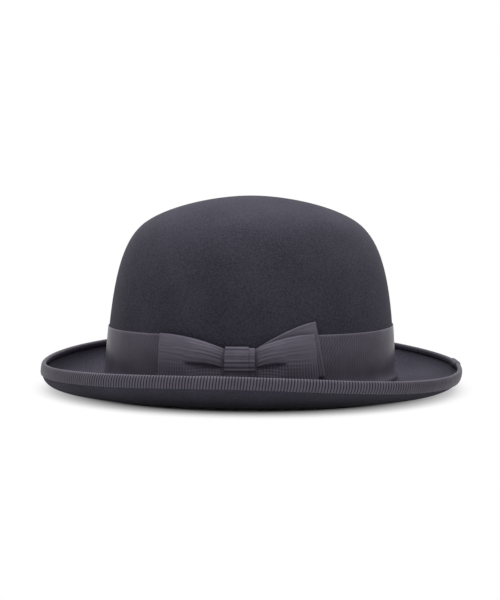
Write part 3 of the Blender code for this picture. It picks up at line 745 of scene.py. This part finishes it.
BOW_BACK_LEAN = 2.6 * MM             # how far the back loop's end slants, top to bottom
BOW_PINCH_BELOW = 7.0 * MM
BOW_DEPTH = 5.0 * MM                 # how far the loops swell out
LOOP_ROUND = 1.0 * MM                # how far the loops' folded ends stand out
LOOP_END_FLAT = 0.6                  # share of the swelling lost at a loop's end
LOOP_EDGE_FLAT = 0.4                 # and about the share lost along the ribbon's edges
SWELL_POWER = 5                      # how fast the loops swell out beside the knot
CREASE_REACH = (0.6, 0.52)           # of the front and the back loop, as shares from the knot
CREASE_FADE = 0.6                    # power of its fading: under 1 keeps it deep for longer
GATHERS = 13.0                       # gathered folds across the ribbon's width
GATHER_DEPTH = 0.13 * MM
FRONT_STEPS, BACK_STEPS, END_STEPS = 120, 50, 8
LOOP_ROWS = 61
CREASE_ARCH = 0.09                   # how far the crease dips at its two ends
LOWER_HALF = (0.42 * HATBAND_WIDTH, 0.58 * HATBAND_WIDTH)    # where streaks give way to ribs
LOOPS_RELIEF = 0.12 * MM

# Rows of the front layer beside the knot: their places across the ribbon, how far down each
# hangs, and how far out, as shares of the loop's width and of its swelling.
FOLD_ROWS = (0.0, 0.08, 0.2, 0.32, 0.4, 0.45, 0.49, 0.54, 0.69, 0.87, 1.0)
FOLD_DOWN = (0.0, 0.08, 0.21, 0.35, 0.45, 0.485, 0.46, 0.50, 0.66, 0.86, 1.0)
FOLD_OUT = (0.45, 0.8, 1.0, 1.08, 1.02, 0.78, 0.32, 0.3, 0.5, 0.55, 0.4)


def through(at, knots, values):
    """A smooth curve through these values, where each is at its knot."""
    knots, values = np.array(knots), np.array(values)
    slopes = np.gradient(values, knots)
    left = np.clip(np.searchsorted(knots, at, side="right") - 1, 0, len(knots) - 2)
    width = knots[left + 1] - knots[left]
    share = (at - knots[left]) / width
    rest = 1.0 - share
    ends = values[left] * rest ** 2 * (1 + 2 * share) + values[left + 1] * share ** 2 * (1 + 2 * rest)
    return ends + width * share * rest * (slopes[left] * rest - slopes[left + 1] * share)


@dataclasses.dataclass
class Bow:
    """A flat bow's measures. place(x, height, out) puts its points on the hat."""

    place: object
    left: float              # from the knot's middle to the end of the loop at -x
    right: float
    lean: float              # of the right loop's end
    top: float
    width: float             # of the ribbon
    pinch_above: float
    pinch_below: float
    depth: float             # how far the loops swell out
    knot_half: float
    gather: float            # 1 for a gathered bow with a crease, 0 for a plain one
    back: float              # how far out the loops' back layer lies

    @property
    def start(self):
        """Where the loops come out of the knot."""
        return self.knot_half + 2 * CLEARANCE

    def reach_share(self, x):
        return reach_share(x, self.start, self.left, self.right)

    def edge_heights(self, x):
        near = (1.0 - self.reach_share(x)) ** 2
        high = self.top - self.pinch_above * near
        return high, self.top - self.width + self.pinch_below * near

    def front(self, x, across):
        """How far down the ribbon's width a row of the front layer lies, and how far out."""
        share = self.reach_share(x)
        along_crease = np.clip(share / np.where(x > 0, CREASE_REACH[1], CREASE_REACH[0]), 0.0, 1.0)
        crease = self.gather * (1.0 - along_crease) ** CREASE_FADE
        dip = CREASE_ARCH * (2.0 * along_crease - 1.0) ** 2 * 4.0 * across * (1.0 - across)
        down = blend(across, through(across, FOLD_ROWS, FOLD_DOWN) + dip, crease)
        rounding = 1.0 - LOOP_EDGE_FLAT * np.abs(2.0 * across - 0.9) ** 3
        out = blend(rounding, through(across, FOLD_ROWS, FOLD_OUT), crease)
        swell = (1.0 - (1.0 - share) ** SWELL_POWER) * (1.0 - LOOP_END_FLAT * share ** 3)
        return down, LAYER_STEP + self.depth * swell * out + self.gathers(share, across)

    def gathers(self, share, across):
        """Small folds in the front layer, highest close to the knot and gone at a loop's end."""
        fold_light_and_shade = np.sin(2 * math.pi * GATHERS * (across + 0.02 * np.sin(9.0 * across)))
        from_knot = np.clip(12.0 * share, 0.0, 1.0)
        return self.gather * GATHER_DEPTH * (1.0 - share) * fold_light_and_shade * from_knot


def bow_loops(name, bow, look):
    """Both loops as one flattened ring of ribbon."""
    shares = np.linspace(0.0, 1.0, FRONT_STEPS + 1)
    front = blend(-bow.left, bow.right, shares)
    back = blend(bow.right, -bow.left, np.linspace(0.0, 1.0, BACK_STEPS + 1))
    turns = np.linspace(0.0, math.pi, END_STEPS + 1)[1:-1]
    right_end = bow.right + LOOP_ROUND * np.sin(turns)
    left_end = -bow.left - LOOP_ROUND * np.sin(turns)
    falling = (1.0 + np.cos(turns)) / 2
    x = np.concatenate([front, right_end, back, left_end, front[:1]])[:, None]
    depth = [np.ones(len(front)), falling, np.zeros(len(back)), 1.0 - falling, [1.0]]
    depth = np.concatenate(depth)[:, None]
    across = np.linspace(0.0, 1.0, LOOP_ROWS)[None, :]
    down, out = bow.front(x, across)
    high, low = bow.edge_heights(x)
    height = blend(high, low, blend(across, down, depth))
    slant = np.where(x > 0, bow.lean * (across - 0.5) * bow.reach_share(x), 0.0)
    points = bow.place(x + slant, height, bow.back + out * depth)
    return cloth_surface(name, points, bow.width, look)


def on_left_side(x, height, out):
    """Places on the hatband's side of the hat, with x along the hat's length."""
    cosine = x / CROWN_HALF_LENGTH
    return wall_points(-np.arccos(cosine), height + BREAK_TILT * cosine, out)


def bow_look(name):
    """Ribs on the lower half of the ribbon. The upper half is drawn into long fine streaks."""
    made, cloth, place = new_cloth(name)
    along, across = cloth.part(0), cloth.part(1)
    lower = across.clipped(*LOWER_HALF)
    streaks = cloth.noise(1.5 * MM, 2.0, (0.05, 1.0, 1.0)).clipped(0.3, 0.7)
    rib = along.wave(RIB_PITCH)
    relief = streaks.mixed(rib, lower)
    # A thin painted highlight along the ribbon's upper edge, where the lamp above lights it.
    upper_edge_highlight = across.clipped(*UPPER_EDGE_HIGHLIGHT)
    uneven = place.noise(10.0 * MM) * 0.4
    # The upper half is painted a little lighter than the lower half: painted light on the part that
    # faces up.
    tone = (streaks * 0.6 + 0.5).mixed(rib * 0.6 + 0.35, lower) + upper_edge_highlight * 0.4 + uneven
    return finish_ribbon(made, tone, relief, LOOPS_RELIEF)


loops_look = bow_look("bow")
bow = Bow(
    place=on_left_side,
    left=BOW_FRONT_REACH,
    right=BOW_BACK_REACH,
    lean=BOW_BACK_LEAN,
    top=HATBAND_TOP + BREAK_ARCH,
    width=HATBAND_WIDTH,
    pinch_above=BOW_PINCH_ABOVE,
    pinch_below=BOW_PINCH_BELOW,
    depth=BOW_DEPTH,
    knot_half=KNOT_HALF_WIDTH,
    gather=1.0,
    back=HATBAND_FACE + 2 * LAYER_STEP + CLEARANCE + RIBBON_THICKNESS / 2,
)
loops = bow_loops("bow_loops_ribbon", bow, loops_look)
place_on_hat(loops, "bow_loops", RIBBON_THICKNESS)


# ---------------------------------------------------------------- the bow's knot
# A ribbon folded double and laid once round the middle of the loops. It lies in soft level
# pleats, and its under layer shows as a narrow strip at the back.

KNOT_OVERLAP = 4.0 * MM              # strip of the under layer left showing
KNOT_SWELL = 1.8 * MM
KNOT_PLEATS = 5.5
PLEAT_DEPTH = 0.12 * MM
KNOT_RELIEF = 0.06 * MM
CORNER_STEPS = 5
KNOT_FRONT_STEPS = 72


def knot_ring(bow, out, swell, pleat):
    """Heights and distances out round the drawn-in loops, this far off them."""
    high, low = bow.edge_heights(0.0)
    back = bow.back - RIBBON_THICKNESS / 2
    front = bow.back + LAYER_STEP + RIBBON_THICKNESS / 2
    share = np.linspace(-1.0, 1.0, KNOT_FRONT_STEPS + 1)
    fold_light_and_shade = np.cos(math.pi * KNOT_PLEATS * (share + 0.12 * np.sin(4.0 * share)))
    faced = front + out + swell * (1.0 - share ** 2) + pleat * fold_light_and_shade * (1.0 - share ** 6)
    heights = [(high + low) / 2 + (high - low) / 2 * share]
    distances = [faced]
    corners = ((high, front, 0.0), (high, back, 90.0), (low, back, 180.0), (low, front, 270.0))
    for height, distance, start in corners:
        turns = np.radians(np.linspace(start, start + 90.0, CORNER_STEPS + 1))
        heights.append(height + out * np.sin(turns))
        distances.append(distance + out * np.cos(turns))
    ring = np.stack([np.concatenate(heights), np.concatenate(distances)], axis=-1)
    return ring[:-1]


def bow_knot(name, bow, layers, swell, pleat, look):
    """A ribbon round the loops' middle. A second layer is folded over at its -x edge."""
    half = bow.knot_half
    first = CLEARANCE + RIBBON_THICKNESS / 2
    under_end = -half + LAYER_STEP * (layers - 1)
    section = [(x, first) for x in np.linspace(half, under_end, 9)]
    if layers > 1:
        for turn in np.radians(FOLD_TURNS):
            x = under_end - LAYER_STEP / 2 * math.sin(turn)
            section.append((x, first + LAYER_STEP * (1.0 - math.cos(turn)) / 2))
        over = np.linspace(under_end, half - KNOT_OVERLAP, 9)
        section += [(x, first + LAYER_STEP) for x in over]
    rings = [knot_ring(bow, out, swell, pleat) for _, out in section]
    x = np.array([x for x, _ in section])[None, :]
    height = np.stack([ring[:, 0] for ring in rings], axis=1)
    out = np.stack([ring[:, 1] for ring in rings], axis=1)
    points = bow.place(x + 0.0 * height, height, out)
    points = np.concatenate([points, points[:1]])
    return cloth_surface(name, points, 2 * half * layers, look)


knot_look, knot_cloth, knot_place = new_cloth("bow's knot")
knot_ribs = knot_cloth.part(0).wave(RIB_PITCH)
knot_tone = knot_ribs * 0.2 + knot_place.noise(6.0 * MM) * 0.6 + 0.4
finish_ribbon(knot_look, knot_tone, knot_ribs, KNOT_RELIEF)
knot = bow_knot("bow_knot_ribbon", bow, 2, KNOT_SWELL, PLEAT_DEPTH, knot_look)
place_on_hat(knot, "bow_knot", RIBBON_THICKNESS)


# ---------------------------------------------------------------- the bow's tail
# The free end of the hatband's ribbon. It fans out behind the back loop, turned up a little,
# and its cut end shows as a narrow strip beside the loop.

TAIL_REACH = 50.4 * MM               # from the knot's middle to the tail's upper corner
TAIL_RISE = 8.2 * MM                 # the tail's upper corner over the loops' edge
TAIL_TILT = 8.4
TAIL_ARCH = 1.45                     # how early it rises: 1 is a straight upper edge
TAIL_STEPS, TAIL_ROWS = 40, 24
TAIL_LIFT = 0.4 * MM                 # how far its end springs off the band

tilt = math.radians(TAIL_TILT)
tail_high, tail_low = bow.edge_heights(bow.start)
tail_top = bow.top + TAIL_RISE
along = np.linspace(0.0, 1.0, TAIL_STEPS + 1)[:, None]
down = np.linspace(0.0, 1.0, TAIL_ROWS + 1)[None, :]
tail_x = blend(bow.start, TAIL_REACH + down * HATBAND_WIDTH * math.sin(tilt), along)
tail_end = tail_top - down * HATBAND_WIDTH * math.cos(tilt)
tail_height = blend(blend(tail_high, tail_low, down), tail_end, 1.0 - (1.0 - along) ** TAIL_ARCH)
tail_out = HATBAND_FACE + CLEARANCE + RIBBON_THICKNESS / 2 + TAIL_LIFT * along ** 2
tail_points = on_left_side(tail_x, tail_height, tail_out)
tail = cloth_surface("bow_tail_ribbon", tail_points, HATBAND_WIDTH, loops_look)
place_on_hat(tail, "bow_tail", RIBBON_THICKNESS)


# ---------------------------------------------------------------- the sweatband
# A band of thin brown leather inside the crown's foot, 55 mm high. Its ends meet at the back,
# and its lower edge is sewn to the tape that holds the reed.

LINING_THICKNESS = 0.4 * MM
LEATHER_THICKNESS = 1.0 * MM
LINING_IN = FELT_FACE + CLEARANCE + LINING_THICKNESS / 2
LINING_FACE = LINING_IN + LINING_THICKNESS / 2
SWEATBAND_IN = LINING_FACE + CLEARANCE + LEATHER_THICKNESS / 2
SWEATBAND_FACE = SWEATBAND_IN + LEATHER_THICKNESS / 2
SWEATBAND_HEIGHT = 55.0 * MM
SWEATBAND_BOTTOM = 5.0 * MM
SWEATBAND_GAP = 0.5                  # turn left open at the back
SWEATBAND_SEAM = 8.5 * MM            # height of its stitches
LEATHER_DARK = (74, 52, 38)
LEATHER_LIGHT = (102, 76, 56)


def hanging_points(angle, height, out):
    """Points on a layer inside the crown, which hangs straight on below the wall's foot."""
    angle, height, out = np.broadcast_arrays(angle, height, out)
    foot = wall_foot_height(angle)
    on_wall = wall_points(angle, np.maximum(height, foot), out)
    _, down = felt_directions(angle, WALL_FOOT)
    drop = np.minimum(height - foot, 0.0) / down[..., 2]
    return on_wall + down * drop[..., None]


def leather_look():
    made, _, place = new_look("leather")
    cells = place.node("ShaderNodeTexVoronoi", {"feature": "F1"}, {"Vector": place, "Scale": 1100.0})
    grain = cells + place.noise(1.6 * MM, 2.0)
    stain = place.noise(22.0 * MM, 3.0)
    tone = (grain * 0.35 + stain * 0.6).clipped(0.2, 0.8)
    return finish(made, {
        "Base Color": tone.tint(LEATHER_DARK, LEATHER_LIGHT),
        "Roughness": 0.42 + grain * 0.12,
        "Specular IOR Level": 0.5,
        "Normal": grain.bump(0.12 * MM, 0.6),
    })


leather_angles = angles_round(240, SWEATBAND_GAP / 2, 360.0 - SWEATBAND_GAP)
leather_heights = SWEATBAND_BOTTOM + SWEATBAND_HEIGHT * np.linspace(1.0, 0.0, 25)[None, :]
leather_points = hanging_points(leather_angles, leather_heights, -SWEATBAND_IN)
leather = cloth_surface("leather_sweatband", leather_points, SWEATBAND_HEIGHT, leather_look())
place_on_hat(leather, "sweatband", LEATHER_THICKNESS)

inner_angles = angles_round(720)
inner_seam = hanging_points(inner_angles, SWEATBAND_SEAM, -SWEATBAND_FACE - THREAD / 4)
inward = unit(inner_seam * np.array([-1.0, -1.0, 0.0]))
inner_stitches = stitch_row("sweatband_stitches", inner_seam[:, 0], inward[:, 0], thread)
place_on_hat(inner_stitches, "sweatband_stitching")


# ---------------------------------------------------------------- the reed and its tape
# A thin plastic reed keeps the sweatband's lower edge round. It lies in the fold of a woven
# tape, which runs up behind the leather and is caught by the same stitches.

REED_RADIUS = 1.1 * MM
TAPE_THICKNESS = 0.3 * MM
TAPE_LEG = 8.5 * MM
REED_HEIGHT = SWEATBAND_BOTTOM - CLEARANCE - REED_RADIUS
REED_DARK = (182.28, 174.84, 160.89)
REED_LIGHT = (196, 188, 173)
TAPE_DARK = (48, 45.6, 52.8)
TAPE_LIGHT = (60, 57, 66)
TAPE_WEAVE = 0.6 * MM


def weave(cloth, pitch):
    """The height of a plain weave, 0 to 1."""
    return cloth.part(0).wave(pitch) * cloth.part(1).wave(pitch)


def reed_look():
    made, _, place = new_look("reed")
    marks = place.noise(5.0 * MM, 2.0)
    return finish(made, {
        "Base Color": marks.tint(REED_DARK, REED_LIGHT),
        "Roughness": 0.45 + marks * 0.1,
    })


def tape_look():
    made, cloth, place = new_cloth("woven tape")
    threads = weave(cloth, TAPE_WEAVE)
    return finish(made, {
        "Base Color": threads.tint(TAPE_DARK, TAPE_LIGHT),
        "Roughness": 0.8,
        "Normal": (threads + place.noise(4.0 * MM) * 0.2).bump(0.08 * MM),
    })


tape_in = SWEATBAND_IN - LEATHER_THICKNESS / 2 - CLEARANCE - TAPE_THICKNESS / 2
tape_fold = REED_RADIUS + CLEARANCE + TAPE_THICKNESS / 2
fold_turns = np.radians(np.linspace(180.0, 360.0, 13))[None, :]
tape_heights = np.concatenate([
    REED_HEIGHT + TAPE_LEG * np.linspace(1.0, 0.2, 5)[None, :],
    REED_HEIGHT + tape_fold * np.sin(fold_turns),
], axis=1)
tape_outs = np.concatenate([
    np.full((1, 5), -tape_in),
    -tape_in - tape_fold * (1.0 + np.cos(fold_turns)),
], axis=1)
ring_angles = angles_round(240)
tape_points = hanging_points(ring_angles, tape_heights, tape_outs)
tape_width = TAPE_LEG + math.pi * tape_fold
tape = cloth_surface("reed_tape_fold", tape_points, tape_width, tape_look())
place_on_hat(tape, "reed_tape", TAPE_THICKNESS)

REED_SIDES = 12
side_turns = np.radians(np.arange(REED_SIDES) * 360.0 / REED_SIDES)[None, :]
reed_heights = REED_HEIGHT + REED_RADIUS * np.sin(side_turns)
reed_outs = -tape_in - tape_fold + REED_RADIUS * np.cos(side_turns)
reed_points = hanging_points(ring_angles[:-1], reed_heights, reed_outs)
reed_faces = tube_faces(len(reed_points), REED_SIDES, 0, closed=True)
reed = solid_mesh("reed_ring", reed_points.reshape(-1, 3), reed_faces, reed_look())
place_on_hat(reed, "sweatband_reed")


# ---------------------------------------------------------------- the small bow inside
# A flat bow of narrow satin ribbon, tacked to the sweatband at the back. It covers the place
# where the leather's ends meet and marks the back of the hat.

SMALL_RIBBON = 6.0 * MM
SMALL_REACH = 13.0 * MM
SMALL_DEPTH = 2.2 * MM
SMALL_PINCH = 1.0 * MM
SMALL_TOP = 42.0 * MM                # height of its loops' upper edge
SMALL_KNOT_HALF = 2.6 * MM
SATIN_DARK = (48, 45, 55)
SATIN_LIGHT = (70, 66, 80)


def satin_look(name, dark, light, pitch=0.3 * MM):
    """Satin: smooth, with faint fine threads along the cloth and a soft shine."""
    made, cloth, place = new_cloth(name)
    streaks = cloth.noise(1.2 * MM, 2.0, (0.05, 1.0, 1.0))
    # Soft patches about 18 mm across, painted lighter and darker as the light and shade of folds.
    fold_light_and_shade = place.noise(18.0 * MM, 1.0)
    return finish(made, {
        "Base Color": (streaks * 0.6 + fold_light_and_shade * 0.4).clipped(0.3, 0.7).tint(dark, light),
        "Roughness": 0.34 + streaks * 0.12,
        "Specular IOR Level": 0.6,
        "Sheen Weight": 0.2,
        "Normal": (streaks + weave(cloth, pitch) * 0.3).bump(0.05 * MM),
    })


def inside_back(x, height, out):
    """Places on the sweatband at the back, with x across the hat and out into the crown."""
    return wall_points(np.arcsin(x / CROWN_HALF_WIDTH), height, -out)


small_look = satin_look("small ribbon", SATIN_DARK, SATIN_LIGHT)
small_bow = Bow(
    place=inside_back,
    left=SMALL_REACH,
    right=SMALL_REACH,
    lean=0.0,
    top=SMALL_TOP,
    width=SMALL_RIBBON,
    pinch_above=SMALL_PINCH,
    pinch_below=SMALL_PINCH,
    depth=SMALL_DEPTH,
    knot_half=SMALL_KNOT_HALF,
    gather=0.0,
    back=SWEATBAND_FACE + LAYER_STEP + CLEARANCE + RIBBON_THICKNESS / 2,
)
small_loops = bow_loops("small_bow_loops", small_bow, small_look)
place_on_hat(small_loops, "sweatband_bow", RIBBON_THICKNESS)
small_knot = bow_knot("small_bow_knot", small_bow, 1, 0.0, 0.0, small_look)
place_on_hat(small_knot, "sweatband_bow_knot", RIBBON_THICKNESS)


# ---------------------------------------------------------------- the lining
# Dark satin in two pieces: an oval tip under the top of the crown, and a side piece in soft
# pleats that runs down behind the leather. One seam joins them at the crown's shoulder.

LINING_BOTTOM = 14.0 * MM
LINING_SIDE = 105.0 * MM             # the side piece, from top to bottom
LINING_GAP = 0.8 * MM                # between the two pieces, at their seam
LINING_PLEATS = 44
SAMPLES_A_PLEAT = 10
PLEATS_FROM = 62.0 * MM              # height where the pleats start to swell
PLEAT_SWELL = 0.9 * MM
LINING_DARK = (70, 66, 78)
LINING_LIGHT = (96, 92, 106)

lining_look = satin_look("lining", LINING_DARK, LINING_LIGHT, 0.4 * MM)
tip_stations = np.linspace(0.04, SHOULDER, 22)[None, :]
tip_points = layer_points(ring_angles, tip_stations, -LINING_IN)
tip = surface("lining_tip_satin", tip_points, tip_points[..., :2], lining_look,
              centre=(-CROWN_FORWARD, 0.0, CROWN_HEIGHT - LINING_IN))
place_on_hat(tip, "lining_tip", LINING_THICKNESS)

side_angles = angles_round(LINING_PLEATS * SAMPLES_A_PLEAT)
_, shoulder_down = felt_directions(side_angles, SHOULDER)
shoulder_line = layer_points(side_angles, SHOULDER, -LINING_IN) + shoulder_down * LINING_GAP
side_top = shoulder_line[:, 0, 2][:, None]
side_heights = blend(side_top, LINING_BOTTOM, np.linspace(0.0, 1.0, 40)[None, :])
pleat_share = np.clip((side_heights - PLEATS_FROM) / (side_top - PLEATS_FROM), 0.0, 1.0)
pleat_rise = np.sin(pleat_share * math.pi)
pleat_wave = 0.5 + 0.5 * np.cos(LINING_PLEATS * side_angles + 6.0 * np.sin(3.0 * side_angles))
side_points = hanging_points(side_angles, side_heights,
                             -LINING_IN - PLEAT_SWELL * pleat_rise * pleat_wave)
side = cloth_surface("lining_side_satin", side_points, LINING_SIDE, lining_look)
place_on_hat(side, "lining_side", LINING_THICKNESS)

tip_seam = layer_points(inner_angles, SHOULDER, -LINING_FACE - THREAD / 4)
tip_seam_out, tip_down = felt_directions(inner_angles, SHOULDER)
tip_seam = tip_seam + tip_down * LINING_GAP / 2
lining_stitches = stitch_row("lining_stitches", tip_seam[:, 0], -tip_seam_out[:, 0], thread)
place_on_hat(lining_stitches, "lining_seam")


# ---------------------------------------------------------------- the studio
# A white floor that runs on into a white backdrop, a wide soft lamp overhead and a white room
# round it. The floor keeps the hat's soft shadow close to the brim.

WHITE = (1.0, 1.0, 1.0, 1.0)
FLOOR_HALF = 6.0
FLOOR_GREY = (0.72, 0.72, 0.72, 1.0)
ROOM_LIGHT = 0.1
SHADOW_OVAL = (0.93, 1.07, 0.0)      # squeezes the hat's outline on the floor to a circle
SHADOW_FADE = (0.116, 0.15)          # and in it the shadow fades out between these distances
LAMP_PLACE = (0.0, 0.12, 1.5)
LAMP_AIM = (0.0, 0.0, 0.1)
LAMP_WIDTH = 2.4
LAMP_POWER = 50.0                    # watts


def seen_directly(start):
    """1 for what the camera sees, also in a mirror or through glass, and 0 for soft light."""
    camera_ray, glossy_ray, clear_ray = (
        start.node("ShaderNodeLightPath", {}, {}, output=kind)
        for kind in ("Is Camera Ray", "Is Glossy Ray", "Is Transmission Ray"))
    return camera_ray.larger(glossy_ray).larger(clear_ray)


floor_look, floor_start, floor_place = new_look("white floor")
finish(floor_look, {"Base Color": FLOOR_GREY, "Roughness": 0.9})
shader = floor_look.node_tree.nodes["Principled BSDF"]
outlet = floor_look.node_tree.nodes["Material Output"]
direct = seen_directly(floor_start)
squeezed = floor_place.node("ShaderNodeVectorMath", {"operation": "MULTIPLY"},
                            {0: floor_place, 1: SHADOW_OVAL})
away = squeezed.node("ShaderNodeVectorMath", {"operation": "LENGTH"}, {0: squeezed}, output="Value")
far = away.clipped(*SHADOW_FADE) * direct
glow = floor_start.node("ShaderNodeEmission", {}, {"Color": WHITE, "Strength": 1.0})
both = far.node("ShaderNodeMixShader", {}, {0: far, 1: Wire(far.tree, shader.outputs[0]), 2: glow})
floor_look.node_tree.links.new(both.socket, outlet.inputs["Surface"])
corners = [(-1, -1), (1, -1), (1, 1), (-1, 1)]
floor_corners = [(FLOOR_HALF * x, FLOOR_HALF * y, 0.0) for x, y in corners]
floor = solid_mesh("floor", floor_corners, [(0, 1, 2, 3)], floor_look)

room = bpy.data.worlds.new("white room")
room.use_nodes = True
bpy.context.scene.world = room
room_start = Wire(room.node_tree)
backdrop = room.node_tree.nodes["Background"]
strength = ROOM_LIGHT + seen_directly(room_start) * (1.0 - ROOM_LIGHT)
room_start.feed(backdrop, {"Color": WHITE, "Strength": strength})


def soft_lamp(name, place, aim, width, power):
    """A square lamp that faces a point."""
    lamp = bpy.data.lights.new(name, "AREA")
    lamp.size = width
    lamp.energy = power
    made = add(name, lamp)
    made.location = place
    way = np.array(aim) - np.array(place)
    made.rotation_euler = (
        math.acos(-way[2] / np.linalg.norm(way)), 0.0, math.atan2(way[1], way[0]) - math.pi / 2)


soft_lamp("overhead lamp", LAMP_PLACE, LAMP_AIM, LAMP_WIDTH, LAMP_POWER)

bpy.context.scene.view_settings.view_transform = "Standard"
